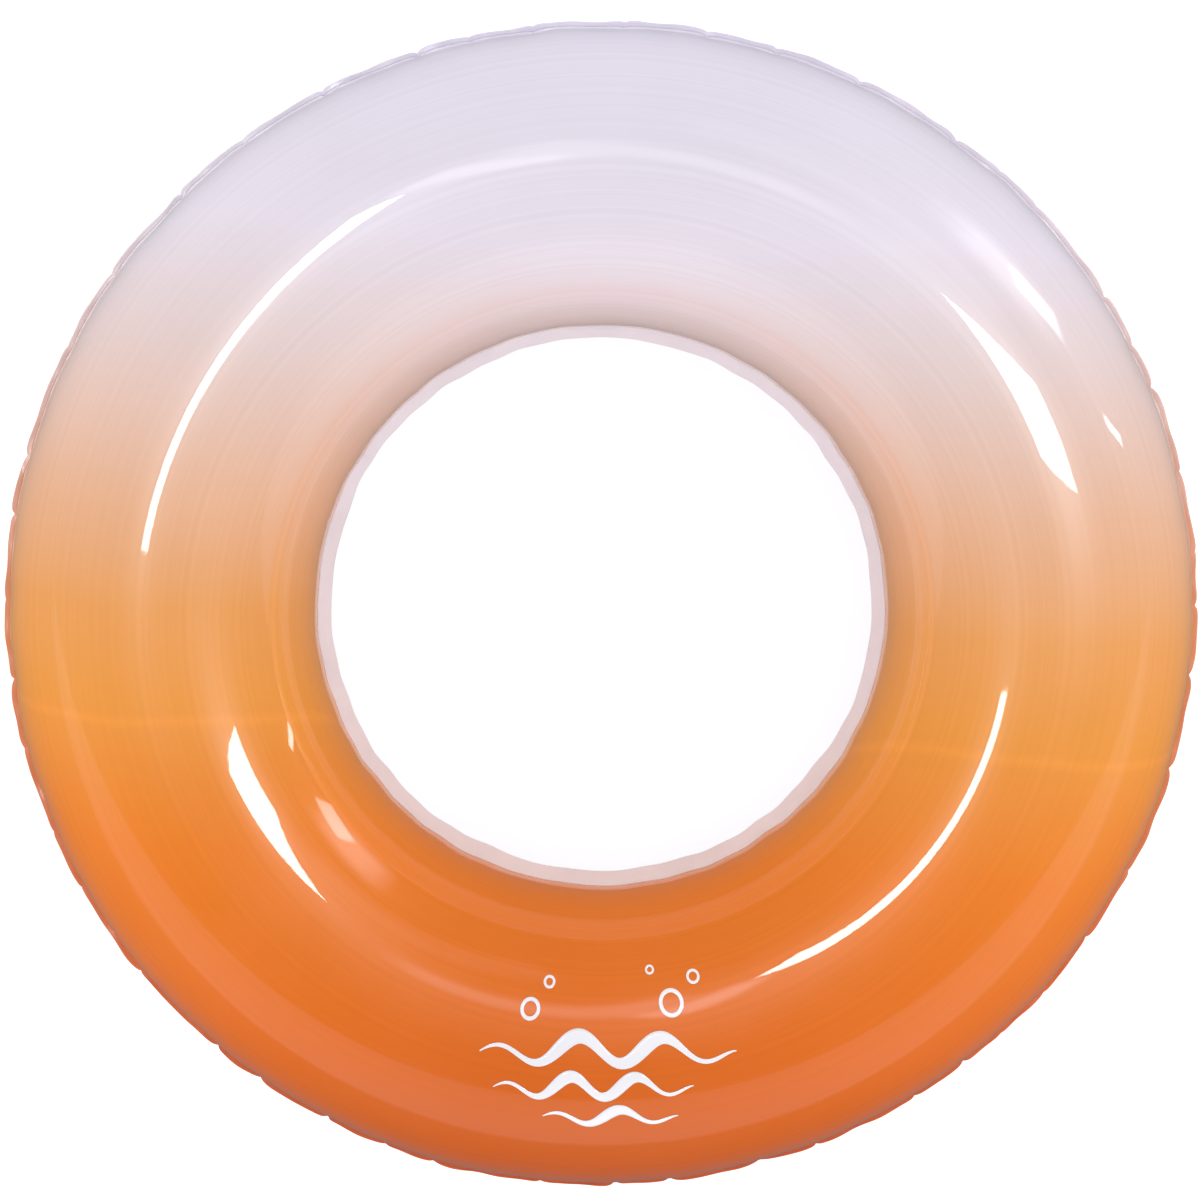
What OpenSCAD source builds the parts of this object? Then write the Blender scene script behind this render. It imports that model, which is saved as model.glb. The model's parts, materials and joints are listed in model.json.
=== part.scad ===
// Inflatable swim ring: two vinyl films welded along two circles, with a push-in air valve.
// The ring lies flat. +Z is the ring's axis, and z = 0 is the surface that it rests on.
// Lengths are in millimetres, angles in degrees.

/* [Ring] */
// Diameter over the outer weld line, inflated
ring_d = 820; // [650:1:1100]
// Diameter of the inflated tube
tube_d = 212; // [160:1:260]
// Width of the band where the tube lies flat on the ground
contact_w = 16; // [6:1:30]
// Thickness of one vinyl film
film_t = 0.4; // [0.3:0.05:0.6]

/* [Weld margins] */
// Width of the margin outside the outer weld
outer_margin_w = 4; // [2:0.5:12]
// Width of the margin inside the inner weld, along its slope
inner_margin_w = 13.5; // [6:0.5:20]
// Slope of the inner margin, below the horizontal
inner_margin_dip = 45; // [0:1:60]

/* [Valve place] */
// Direction of the valve around the ring, from +X towards +Y
valve_turn = 135; // [0:1:359]
// Direction of the valve around the tube, below the outer weld
valve_dip = 40; // [25:1:60]

/* [Valve mount] */
// Diameter of the flange that is welded to the lower film
flange_d = 38; // [32:0.5:50]
// Thickness of the flange
flange_t = 0.8; // [0.5:0.1:1.5]
// Diameter of the hole in the film and in the flange
well_d = 25; // [24.6:0.1:30]
// Wall of the boot, the soft cup that lets the stem sink and stand out
boot_wall = 0.8; // [0.5:0.1:1.2]

/* [Valve stem] */
// Outer diameter of the stem
stem_d = 12; // [10.5:0.1:13]
// Diameter of the stem's bore, which takes a pump's nozzle
bore_d = 8; // [7:0.1:9]
// Length of the stem
stem_len = 14; // [12:0.5:20]
// Diameter of the lip that is round the stem's mouth
lip_d = 15; // [13.5:0.1:16.5]
// Thickness of the lip
lip_t = 1.2; // [0.8:0.1:2]

/* [Check flap] */
// Thickness of the seat ring
seat_t = 1; // [0.6:0.1:2]
// Diameter of the air hole through the seat
seat_hole_d = 5.2; // [3:0.1:6]
// Distance from the stem's inner end to the seat
seat_inset = 2.1; // [1.5:0.1:4]
// Thickness of the flap
flap_t = 0.5; // [0.3:0.1:0.8]
// Gap between the flap's rim and the bore
flap_gap = 0.2; // [0.15:0.05:0.4]
// Distance from the flap's hinge to the bore
flap_hinge_inset = 0.8; // [0.6:0.1:1]

/* [Stopper] */
// Diameter of the stopper's cap
cap_d = 17; // [15.5:0.1:18]
// Thickness of the cap
cap_t = 1.6; // [1:0.1:2.5]
// Length of the plug under the cap
plug_len = 6; // [4:0.5:6.5]
// How much narrower the plug is at its tip than at the cap
plug_taper = 2.9; // [2.4:0.1:3.4]
// Width of the pull tab
tab_w = 6; // [4:0.5:8]
// Thickness of the pull tab
tab_t = 0.8; // [0.5:0.1:1]
// How far the pull tab reaches past the cap
tab_reach = 2; // [1:0.1:2.4]
// Width of the strap that ties the stopper to the stem
strap_w = 4; // [3:0.5:6]
// Thickness of the strap
strap_t = 0.8; // [0.5:0.1:1]
// Length of the strap, from the cap to its hinge
strap_len = 1.8; // [1.5:0.1:2.2]
// How far the flange's face stands above the cap
cap_sunk = 0.2; // [0:0.1:1]

/* [Fits] */
// Radial clearance between the plug and the bore
plug_fit = 0.05; // [0.02:0.01:0.1]
// Gap between faces that meet and part again
face_gap = 0.05; // [0.02:0.01:0.1]
// Gap between faces that are welded or glued
weld_gap = 0.03; // [0.01:0.01:0.05]

/* [Hidden] */

// Facets of the ring's circles and of the valve's
ring_fn = 200;
valve_fn = 72;
// Length by which a cutting shape runs past what it cuts
over = 1;

// Ring
tube_r = tube_d / 2;
core_r = ring_d / 2 - tube_r;
hole_r = core_r - tube_r;
mid_z = sqrt(pow(tube_r, 2) - pow(contact_w / 2, 2));
margin_t = 2 * film_t;
inner_run = inner_margin_w * cos(inner_margin_dip);
inner_drop = inner_margin_w * sin(inner_margin_dip);
inner_margin_h = margin_t / cos(inner_margin_dip);

// Valve, along its own axis: zero is the outside of the film, and up is away from the tube
flange_r = tube_r + weld_gap + flange_t;
cap_top = weld_gap + flange_t - cap_sunk;
cap_bottom = cap_top - cap_t;
lip_top = cap_bottom - face_gap;
stem_bottom = lip_top - stem_len;
boot_floor = stem_bottom - weld_gap;
boot_bottom = boot_floor - boot_wall;
seat_bottom = stem_bottom + seat_inset;
flap_top = seat_bottom - face_gap;
flap_r = bore_d / 2 - (flap_hinge_inset + flap_gap) / 2;
flap_x = (flap_hinge_inset - flap_gap) / 2;
hinge_x = cap_d / 2 + strap_len;

// The tube's section, with its outline moved in by inset; it is flat where it rests
module tube_section(inset) {
    intersection() {
        translate([core_r, mid_z])
            circle(r = tube_r - inset, $fn = ring_fn);
        translate([hole_r, inset])
            square([tube_d, tube_d]);
    }
}

// The film all round the tube, between two heights
module film(low, high) {
    rotate_extrude($fn = ring_fn)
        intersection() {
            difference() {
                tube_section(0);
                tube_section(film_t);
            }
            translate([hole_r - over, low])
                square([tube_d + 2 * over, high - low]);
        }
}

// A solid ring with a round section of radius r on the tube's core
module round_tube(r) {
    translate([0, 0, mid_z])
        rotate_extrude($fn = ring_fn)
            translate([core_r, 0])
                circle(r = r, $fn = ring_fn);
}

// Puts its children on the tube, standing on the film where the valve is
module at_valve() {
    rotate([0, 0, valve_turn])
        translate([core_r, 0, mid_z])
            rotate([0, 90 + valve_dip, 0])
                translate([0, 0, tube_r])
                    children();
}

// A round rod between two heights on the valve's axis
module rod(d, low, high) {
    translate([0, 0, low])
        cylinder(d = d, h = high - low, $fn = valve_fn);
}

module upper_skin() {
    color("orange")
        film(mid_z, mid_z + tube_r + over);
}

module lower_skin() {
    color("white")
        difference() {
            film(0, mid_z);
            at_valve()
                rod(well_d, boot_bottom, over);
        }
}

module outer_weld_band() {
    color("lavender")
        rotate_extrude($fn = ring_fn)
            translate([core_r + tube_r, mid_z - film_t])
                square([outer_margin_w, margin_t]);
}

module inner_weld_band() {
    color("ghostwhite")
        rotate_extrude($fn = ring_fn)
            polygon([
                [hole_r, mid_z - inner_margin_h / 2],
                [hole_r, mid_z + inner_margin_h / 2],
                [hole_r - inner_run, mid_z - inner_drop + inner_margin_h / 2],
                [hole_r - inner_run, mid_z - inner_drop - inner_margin_h / 2],
            ]);
}

module valve_flange() {
    color("whitesmoke")
        difference() {
            intersection() {
                round_tube(flange_r);
                at_valve()
                    rod(flange_d, boot_bottom, flange_t + over);
            }
            round_tube(tube_r + weld_gap);
            at_valve()
                rod(well_d, boot_bottom - over, flange_t + 2 * over);
        }
}

module valve_boot() {
    boot_d = well_d - 2 * weld_gap;
    color("gainsboro")
        intersection() {
            round_tube(flange_r);
            at_valve()
                difference() {
                    rod(boot_d, boot_bottom, flange_t + over);
                    rod(boot_d - 2 * boot_wall, boot_floor, flange_t + 2 * over);
                    rod(bore_d, boot_bottom - over, boot_floor + over);
                }
        }
}

module valve_stem() {
    color("whitesmoke")
        at_valve()
            difference() {
                union() {
                    rod(stem_d, stem_bottom, lip_top);
                    rod(lip_d, lip_top - lip_t, lip_top);
                    translate([-hinge_x, -strap_w / 2, lip_top - lip_t])
                        cube([hinge_x, strap_w, lip_t]);
                }
                rod(bore_d, stem_bottom - over, lip_top + over);
            }
}

module flap_seat() {
    color("silver")
        at_valve()
            difference() {
                rod(bore_d - 2 * weld_gap, seat_bottom, seat_bottom + seat_t);
                rod(seat_hole_d, seat_bottom - over, seat_bottom + seat_t + over);
            }
}

module check_flap() {
    color("lightsteelblue")
        at_valve()
            translate([-flap_x, 0, 0])
                rod(2 * flap_r, flap_top - flap_t, flap_top);
}

module stopper() {
    plug_d = bore_d - 2 * plug_fit;
    color("whitesmoke")
        at_valve()
            union() {
                rod(cap_d, cap_bottom, cap_top);
                translate([0, 0, cap_bottom - plug_len])
                    cylinder(d1 = plug_d - plug_taper, d2 = plug_d, h = plug_len, $fn = valve_fn);
                translate([0, -tab_w / 2, cap_top - tab_t])
                    cube([cap_d / 2 + tab_reach, tab_w, tab_t]);
            }
}

module stopper_strap() {
    color("whitesmoke")
        at_valve()
            difference() {
                translate([-hinge_x, -strap_w / 2, cap_bottom])
                    cube([hinge_x, strap_w, strap_t]);
                rod(cap_d + 2 * weld_gap, cap_bottom - over, cap_top + over);
            }
}

upper_skin();
lower_skin();
outer_weld_band();
inner_weld_band();
valve_flange();
valve_boot();
valve_stem();
flap_seat();
check_flap();
stopper();
stopper_strap();
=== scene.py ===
# %% [markdown]
# # An inflated swim ring
#
# A swim ring is two flat rings of vinyl film, laid on each other and welded along two
# circles. Air pushes the films apart into a tube. This lesson builds each piece as a surface:
# a formula turns two numbers, the way round the ring and the way round the tube, into a point.
# The engineering model is loaded first and stays as it is. It says how large everything is.

import json
import math

import bpy
import numpy as np
from mathutils import Matrix, Vector


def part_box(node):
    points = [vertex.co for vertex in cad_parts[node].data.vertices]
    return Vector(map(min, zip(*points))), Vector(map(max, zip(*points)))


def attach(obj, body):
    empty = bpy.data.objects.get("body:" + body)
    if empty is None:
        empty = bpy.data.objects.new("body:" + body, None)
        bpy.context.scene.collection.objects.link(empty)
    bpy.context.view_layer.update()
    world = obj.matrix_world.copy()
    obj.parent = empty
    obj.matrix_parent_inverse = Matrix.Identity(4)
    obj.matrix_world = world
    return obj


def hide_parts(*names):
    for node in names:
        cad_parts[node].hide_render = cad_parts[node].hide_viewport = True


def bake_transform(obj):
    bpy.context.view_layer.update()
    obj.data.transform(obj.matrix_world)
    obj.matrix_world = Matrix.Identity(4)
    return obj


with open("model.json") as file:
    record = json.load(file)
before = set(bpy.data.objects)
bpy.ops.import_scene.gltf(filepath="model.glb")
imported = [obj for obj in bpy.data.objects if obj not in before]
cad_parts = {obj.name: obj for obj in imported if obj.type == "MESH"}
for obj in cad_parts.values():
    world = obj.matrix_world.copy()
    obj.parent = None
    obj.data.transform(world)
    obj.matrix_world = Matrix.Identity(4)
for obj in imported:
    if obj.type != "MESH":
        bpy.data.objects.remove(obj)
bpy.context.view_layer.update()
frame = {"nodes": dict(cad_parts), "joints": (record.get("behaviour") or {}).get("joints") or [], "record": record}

# %% [markdown]
# ## Sizes
#
# The upper film's box holds all of the tube's sizes: it starts at the welds' height, ends at the
# tube's top, and is as wide as the ring over its outer weld. A mount gives the hole's free edge.
# Reading them keeps this file true when the model changes.

# %% Sizes from the model
MM = 0.001
TURN = 2 * math.pi

film_low, film_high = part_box("upper_skin")
SEAM_Z = film_low.z
TUBE_R = film_high.z - film_low.z
CORE_R = film_high.x - TUBE_R
HOLE_R = CORE_R - TUBE_R
OUTER_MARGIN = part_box("outer_weld_band")[1].x - film_high.x
FILM_T = 0.4 * MM

mounts = {mount["name"]: mount for mount in frame["record"]["mounts"]}
EDGE_R = mounts["swimmer_hole"]["dims"]["r_mm"] * MM
EDGE_Z = mounts["swimmer_hole"]["pos_m"][2]
print(f"tube radius {TUBE_R:.4f} m, core radius {CORE_R:.4f} m, hole edge {EDGE_R:.4f} m")

# %% [markdown]
# ## From points to a mesh
#
# Every piece here is a grid of points. Rows run along the piece and columns across it, and a
# grid that meets itself is closed. The faces are worked out from the grid's size alone. A shape
# may come out inside out, so its volume is measured, and the faces are turned if it is negative.


# %% Grid faces and meshes
def grid_faces(rows, columns, close_rows=True, close_columns=True):
    """Squares of a grid numbered row by row: two neighbours and the two in the next row."""
    row = np.arange(rows if close_rows else rows - 1)[:, None]
    column = np.arange(columns if close_columns else columns - 1)[None, :]
    next_row = (row + 1) % rows
    next_column = (column + 1) % columns
    corners = [
        row * columns + column,
        row * columns + next_column,
        next_row * columns + next_column,
        next_row * columns + column,
    ]
    return np.stack(corners, axis=-1).reshape(-1, 4)


def signed_volume(points, faces):
    """A sixth of the sum of a . (b x c) over the triangles: positive when faces look outwards."""
    a, b, c, d = (points[faces[:, i]] for i in range(4))
    first = np.einsum("ij,ij->i", a, np.cross(b, c))
    second = np.einsum("ij,ij->i", a, np.cross(c, d))
    return (first.sum() + second.sum()) / 6


def make_piece(name, points, faces, material, flat=None):
    """A smooth-shaded mesh object at the origin; flat is each point's place on the flat film."""
    points = np.asarray(points, float).reshape(-1, 3)
    if signed_volume(points, faces) < 0:
        faces = faces[:, ::-1]
    mesh = bpy.data.meshes.new(name)
    mesh.vertices.add(len(points))
    mesh.vertices.foreach_set("co", points.astype(np.float32).ravel())
    mesh.loops.add(faces.size)
    mesh.loops.foreach_set("vertex_index", faces.astype(np.int32).ravel())
    mesh.polygons.add(len(faces))
    mesh.polygons.foreach_set("loop_start", np.arange(0, faces.size, 4, dtype=np.int32))
    mesh.update(calc_edges=True)
    mesh.validate()
    mesh.shade_smooth()
    if flat is not None:
        where = mesh.attributes.new("flat", "FLOAT_VECTOR", "POINT")
        where.data.foreach_set("vector", np.asarray(flat, np.float32).ravel())
    mesh.materials.append(material)
    piece = bpy.data.objects.new(name, mesh)
    bpy.context.scene.collection.objects.link(piece)
    print(f"{name}: {len(points)} points, {len(faces)} faces")
    return piece


# %% [markdown]
# ## The pinched edge
#
# The outer weld was longer when the film was flat: a ring 107 cm across when flat is only 82 cm
# across when full. The spare length has to go somewhere, so the edge folds into small pinches
# with tight, smooth lobes between them. A cloth simulation can find such folds, but it needs
# cells of about a millimetre on a seam 2.6 m long. Here each pinch is a formula instead: a sharp
# valley at the weld, which widens and fades as it runs up the tube. A fixed seed places them.

# %% Where the pinches are
PINCHES = 47
SEAM_R = CORE_R + TUBE_R
dice = np.random.default_rng(11)
gap = dice.uniform(0.55, 1.45, PINCHES)
pinch_turn = np.cumsum(gap) / gap.sum() * TURN
pinch_depth = dice.uniform(1.0, 3.4, PINCHES) * MM
pinch_left = dice.uniform(1.2, 4.0, PINCHES) * MM
pinch_right = dice.uniform(1.2, 4.0, PINCHES) * MM
pinch_slant = dice.uniform(-0.22, 0.22, (2, PINCHES))
pinch_reach = dice.uniform(5, 15, (2, PINCHES)) * MM
print(f"{PINCHES} pinches, {pinch_depth.min() / MM:.1f} to {pinch_depth.max() / MM:.1f} mm deep")


# %% Folds and swells of the film
def waves(turn, counts, seed):
    """A smooth random line round the ring: a sum of sines, each with a whole number of waves."""
    draw = np.random.default_rng(seed)
    total = np.zeros_like(turn)
    for count in counts:
        total += draw.normal() * np.sin(count * turn + draw.uniform(0, TURN))
    return total / math.sqrt(len(counts))


def pinched(turn, arc, side):
    """How far pinches draw the film in: depth x exp(-distance / width) x fade along the arc.

    The width grows along the arc, and the tip is rounded by a length that grows too.
    """
    drawn = np.zeros(np.broadcast(turn, arc).shape)
    for k in range(PINCHES):
        away = (turn - pinch_turn[k] + math.pi) % TURN - math.pi
        away = away * SEAM_R - pinch_slant[side, k] * arc
        width = np.where(away < 0, pinch_left[k], pinch_right[k]) + 0.20 * arc
        soft = np.sqrt(away ** 2 + (0.25 * MM + 0.10 * arc) ** 2)
        fade = np.exp(-((arc / pinch_reach[side, k]) ** 1.2))
        drawn += pinch_depth[k] * np.exp(-soft / width) * fade
    return drawn


SWELL_OUTER, SWELL_OUTER_REACH = 0.55 * MM, 34 * MM
SWELL_INNER, SWELL_INNER_REACH = 0.35 * MM, 30 * MM
SWELL_SLOW = 0.22 * MM


def swell(turn, arc, arc_in):
    """Soft hollows near both welds, which fade towards the tube's top, and a slow swell."""
    outer = waves(turn, range(17, 62, 4), 3) * np.exp(-arc / SWELL_OUTER_REACH)
    inner = waves(turn, range(9, 46, 4), 4) * np.exp(-arc_in / SWELL_INNER_REACH)
    return SWELL_OUTER * outer + SWELL_INNER * inner + SWELL_SLOW * waves(turn, range(2, 9), 5)


# %% [markdown]
# ## The tube
#
# A torus is a circle carried round a circle. The way round the tube starts at the outer weld,
# a quarter turn reaches the top, and half a turn the inner weld. Air doesn't make a perfect
# ring: this one is a little wider than it is deep, and its tube is a little fuller at the sides.
# Where the ring stands, its film lies flat on the ground.

# %% The tube as a formula
OVAL_CORE = 2.2 * MM
OVAL_TUBE = 1.4 * MM
LOBE_OUT, LOBE_REACH = 0.2 * MM, 45 * MM
SEAM_RISE, RISE_REACH = 0.5 * MM, 14 * MM
SETTLE_INNER, SETTLE_OUTER = 12 * MM, 1 * MM


def tube(turn, around, lift=0.0):
    """Core circle plus radius times (cos around, sin around), drawn in by pinches and swells.

    lift stands off the film, the weld wanders up and down, and nothing goes below the ground.
    Height ignores the swells at the very welds, so the two films meet there.
    """
    turn, around = np.broadcast_arrays(np.asarray(turn, float), np.asarray(around, float))
    side = around < 0
    arc = np.abs(around) * TUBE_R
    arc_in = math.pi * TUBE_R - arc
    core = CORE_R + OVAL_CORE * np.cos(2 * turn)
    across = TUBE_R + OVAL_TUBE * np.cos(2 * turn)
    drawn = np.where(side, pinched(turn, arc, 1), pinched(turn, arc, 0))
    out = lift - drawn + swell(turn, arc, arc_in) + LOBE_OUT * np.exp(-arc / LOBE_REACH)
    settle = np.clip(arc_in / SETTLE_INNER, 0, 1) * np.clip(arc / SETTLE_OUTER, 0, 1)
    rise = waves(turn, range(23, 90, 6), 6) * SEAM_RISE * np.exp(-arc / RISE_REACH)
    r = core + (across + out) * np.cos(around)
    z = SEAM_Z + (TUBE_R + out * settle) * np.sin(around) + rise
    z = np.maximum(z, np.maximum(-lift, 0.0))
    return np.stack([r * np.cos(turn), r * np.sin(turn), z], axis=-1)


def flat_place(turn, around):
    """Where that point was on the flat film: its distance from the inner weld is kept as an arc."""
    r = HOLE_R + (math.pi - np.abs(around)) * TUBE_R
    turn, r = np.broadcast_arrays(turn, r)
    return np.stack([r * np.cos(turn), r * np.sin(turn), np.zeros_like(r)], axis=-1)


# %% [markdown]
# ## Where the grid lines go
#
# Even spacing would waste points on the smooth top and miss the pinches. So the lines round the
# ring crowd together at each pinch, and the lines round the tube crowd towards both welds. The
# spacing is the inverse of a running total of how many lines each place needs.


# %% Grid lines that follow the detail
def crowded(count, need, ends=False):
    """Places from 0 to 1 at which the running total of need has grown by equal steps."""
    at = np.linspace(0, 1, 20001)
    total = np.concatenate([[0], np.cumsum((need(at[1:]) + need(at[:-1])) / 2)])
    steps = np.linspace(0, total[-1], count if ends else count + 1)
    return np.interp(steps if ends else steps[:-1], total, at)


RING_LINES = 1060
AT_PINCH, PINCH_FADE = 3.2, 5 * MM
AT_OUTER_WELD, OUTER_FADE = 9, 0.035
AT_INNER_WELD, INNER_FADE = 3, 0.05


def near_pinch(at):
    """One, and about three more at each pinch, fading within a few millimetres of it."""
    away = (at[:, None] * TURN - pinch_turn + math.pi) % TURN - math.pi
    return 1 + AT_PINCH * np.exp(-np.abs(away) * SEAM_R / PINCH_FADE).sum(axis=1)


def near_welds(at):
    """One along the tube's top, and more towards the outer weld at 0 and the inner weld at 1."""
    outer = AT_OUTER_WELD * np.exp(-at / OUTER_FADE)
    return 1 + outer + AT_INNER_WELD * np.exp(-(1 - at) / INNER_FADE)


TURNS = crowded(RING_LINES, near_pinch) * TURN
print(f"{len(TURNS)} lines round the ring")

# %% [markdown]
# ## Materials
#
# Soft vinyl has two kinds of shine. Its skin is polished, so lamps show as sharp shapes, and
# below it the plasticised body scatters a wider, softer glow. A rough base under a smooth coat
# gives both. The ripple left by the rollers that made the film is shared by all vinyl here, so
# it is one node group, and each material sets how strong it is.

# %% Node helpers
def node(tree, kind, values=(), **settings):
    """Adds a node, sets its properties, then its inputs in order.

    A value is a node, which gives its first output, a socket, a plain value, or None to skip.
    """
    made = tree.nodes.new(kind)
    for key, value in settings.items():
        setattr(made, key, value)
    for index, value in enumerate(values):
        value = value.outputs[0] if hasattr(value, "outputs") else value
        if isinstance(value, bpy.types.NodeSocket):
            tree.links.new(value, made.inputs[index])
        elif value is not None:
            made.inputs[index].default_value = value
    return made


def calc(tree, operation, *values):
    """A Math node: the operation and its values."""
    return node(tree, "ShaderNodeMath", values, operation=operation)


def vector_calc(tree, operation, *values):
    """A Vector Math node: the operation and its values."""
    return node(tree, "ShaderNodeVectorMath", values, operation=operation)


def scaled(tree, vector, factor):
    """A colour or vector times a number, which may be a socket."""
    return vector_calc(tree, "SCALE", vector, None, None, factor)


def remap(tree, value, low, high, low_out, high_out, **settings):
    """A Map Range node: low becomes low_out and high becomes high_out, clamped outside."""
    return node(tree, "ShaderNodeMapRange", [value, low, high, low_out, high_out], **settings)


def ramp(tree, value, stops):
    """A colour ramp: stops are (place, colour) with places from 0 to 1."""
    made = node(tree, "ShaderNodeValToRGB", [value])
    points = made.color_ramp.elements
    points[0].position, points[1].position = stops[0][0], stops[-1][0]
    points[0].color, points[1].color = rgb(stops[0][1]), rgb(stops[-1][1])
    for place, colour in stops[1:-1]:
        points.new(place).color = rgb(colour)
    return made


def rgb(colour):
    """A display colour in 0 to 255 as the linear colour that a shader takes."""
    part = np.asarray(colour, float) / 255
    linear = np.where(part <= 0.04045, part / 12.92, ((part + 0.055) / 1.055) ** 2.4)
    return (*linear.tolist(), 1.0)


# %% The film's ripple, shared by every vinyl piece
def ripple_group():
    """Height and roughness of soft vinyl: long rolls, fine grain, and duller patches."""
    tree = bpy.data.node_groups.new("vinyl_ripple", "ShaderNodeTree")
    for name in ("Size", "Gloss"):
        tree.interface.new_socket(name, in_out="INPUT", socket_type="NodeSocketFloat")
    for name in ("Height", "Roughness", "Cloud"):
        tree.interface.new_socket(name, in_out="OUTPUT", socket_type="NodeSocketFloat")
    entry = tree.nodes.new("NodeGroupInput")
    place = node(tree, "ShaderNodeTexCoord").outputs["Object"]
    place = scaled(tree, place, entry.outputs["Size"])
    rolls = node(tree, "ShaderNodeTexNoise", [place, None, 34.0, 2.0, 0.5])
    grain = node(tree, "ShaderNodeTexNoise", [place, None, 420.0, 3.0, 0.6])
    height = calc(tree, "MULTIPLY_ADD", grain, 0.06, rolls)
    cloud = node(tree, "ShaderNodeTexNoise", [place, None, 9.0, 4.0, 0.55])
    dull = remap(tree, cloud, 0.3, 0.7, 0.85, 1.2)
    rough = calc(tree, "MULTIPLY", entry.outputs["Gloss"], dull)
    node(tree, "NodeGroupOutput", [height, rough, cloud])
    return tree


RIPPLE = ripple_group()
FILM_GLOSS = 0.34
FILM_BUMP = 0.05


def vinyl(name, gloss, bump, size=1.0, coat=0.75, coat_roughness=0.03):
    """A coated vinyl whose bump and roughness come from the ripple; its colour comes later."""
    material = bpy.data.materials.new(name)
    material.use_nodes = True
    tree = material.node_tree
    shader = tree.nodes["Principled BSDF"]
    shader.inputs["IOR"].default_value = 1.52
    shader.inputs["Specular IOR Level"].default_value = 0.25
    shader.inputs["Coat Weight"].default_value = coat
    shader.inputs["Coat Roughness"].default_value = coat_roughness
    shader.inputs["Coat IOR"].default_value = 1.5
    shape = node(tree, "ShaderNodeGroup", [size, gloss], node_tree=RIPPLE)
    raised = node(tree, "ShaderNodeBump", [bump, 0.001, 1.0, shape.outputs["Height"]])
    tree.links.new(raised.outputs[0], shader.inputs["Normal"])
    tree.links.new(raised.outputs[0], shader.inputs["Coat Normal"])
    tree.links.new(shape.outputs["Roughness"], shader.inputs["Roughness"])
    return material, tree, shader, shape


# %% [markdown]
# ### The printed film
#
# The film was printed while it was flat, so its colours follow the flat film and not the tube:
# near the hole and the rim they crowd together. Each point remembers its place on the flat film
# in an attribute, and the shade runs along that. Fine lines round the ring are drag marks of
# the print, and one pale line across is where the printing roller came round again.

# %% Printed film
PRINT_TILT = 0.045
PRINT_SPAN = 0.54
ROLLER_PLACE = -0.098
ROLLER_HALF_WIDTH = 7 * MM
# place along the flat film in metres, display colour
PRINT_SHADES = [
    (-0.50, (200, 85, 10)),
    (-0.35, (230, 110, 20)),
    (-0.20, (242, 130, 30)),
    (-0.08, (243, 156, 62)),
    (0.00, (241, 164, 90)),
    (0.10, (237, 185, 150)),
    (0.22, (233, 210, 204)),
    (0.32, (233, 224, 233)),
    (0.52, (224, 218, 232)),
]


def printed_film():
    """Shade by place along the flat film, with drag lines round the ring and faint clouds."""
    material, tree, shader, shape = vinyl("printed_vinyl", FILM_GLOSS, FILM_BUMP)
    flat = node(tree, "ShaderNodeAttribute", attribute_name="flat").outputs["Vector"]
    split = node(tree, "ShaderNodeSeparateXYZ", [flat])
    along = calc(tree, "MULTIPLY_ADD", split.outputs[0], PRINT_TILT, split.outputs[1])
    drift = node(tree, "ShaderNodeTexNoise", [flat, None, 3.0, 3.0, 0.6])
    drift = remap(tree, drift, 0.0, 1.0, -12 * MM, 12 * MM)
    along = calc(tree, "ADD", along, drift)
    share = remap(tree, along, -PRINT_SPAN, PRINT_SPAN, 0.0, 1.0)
    stops = [((place + PRINT_SPAN) / (2 * PRINT_SPAN), colour) for place, colour in PRINT_SHADES]
    shade = ramp(tree, share, stops)
    away = vector_calc(tree, "LENGTH", flat).outputs["Value"]
    lines = node(
        tree, "ShaderNodeTexNoise", [None, away, 260.0, 2.0, 0.6], noise_dimensions="1D"
    )
    lines = remap(tree, lines, 0.3, 0.7, 0.975, 1.02)
    roller = calc(tree, "ABSOLUTE", calc(tree, "SUBTRACT", along, ROLLER_PLACE))
    roller = remap(tree, roller, 0.0, ROLLER_HALF_WIDTH, 1.06, 1.0)
    cloud = remap(tree, shape.outputs["Cloud"], 0.2, 0.8, 0.98, 1.02)
    light = calc(tree, "MULTIPLY", calc(tree, "MULTIPLY", lines, roller), cloud)
    final = scaled(tree, shade, light)
    tree.links.new(final.outputs[0], shader.inputs["Base Color"])
    return material


PRINTED = printed_film()


# %% [markdown]
# ### Plain vinyl
#
# The lower film, the ink and the valve are all white, but no two are the same white. A helper
# mixes two shades by the ripple's clouds, so that none of them is a flat colour. The margins
# are duller than the film, because the hot welding bar leaves fine ribs in them.


# %% Plain vinyls
def plain_vinyl(name, light, dark, gloss, bump, size=1.0, coat=0.75, coat_roughness=0.03):
    """White vinyl: a mix of two shades by the clouds of the ripple."""
    material, tree, shader, shape = vinyl(name, gloss, bump, size, coat, coat_roughness)
    share = remap(tree, shape.outputs["Cloud"], 0.35, 0.65, 0.0, 1.0)
    shade = ramp(tree, share, [(0.0, dark), (1.0, light)])
    tree.links.new(shade.outputs[0], shader.inputs["Base Color"])
    return material


# light and dark shade, gloss, bump, size of the ripple, coat and its roughness
WHITE = plain_vinyl("white_vinyl", (222, 222, 228), (212, 212, 220), FILM_GLOSS, FILM_BUMP)
INK = plain_vinyl("ink", (250, 249, 250), (242, 241, 245), 0.30, 0.03)
VALVE = plain_vinyl("valve_vinyl", (206, 209, 215), (194, 198, 205), 0.42, 0.10, 6.0, 0.5, 0.18)
STOPPER = plain_vinyl("stopper_vinyl", (214, 216, 220), (203, 206, 212), 0.40, 0.08, 6.0, 0.6, 0.14)
SEAT = plain_vinyl("seat_plastic", (206, 211, 219), (192, 198, 208), 0.55, 0.15, 8.0, 0.0, 0.3)
FLAP = plain_vinyl("flap_film", (208, 220, 232), (192, 206, 222), 0.25, 0.04, 8.0, 1.0, 0.05)


MARGIN_SPAN = 0.42


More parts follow.
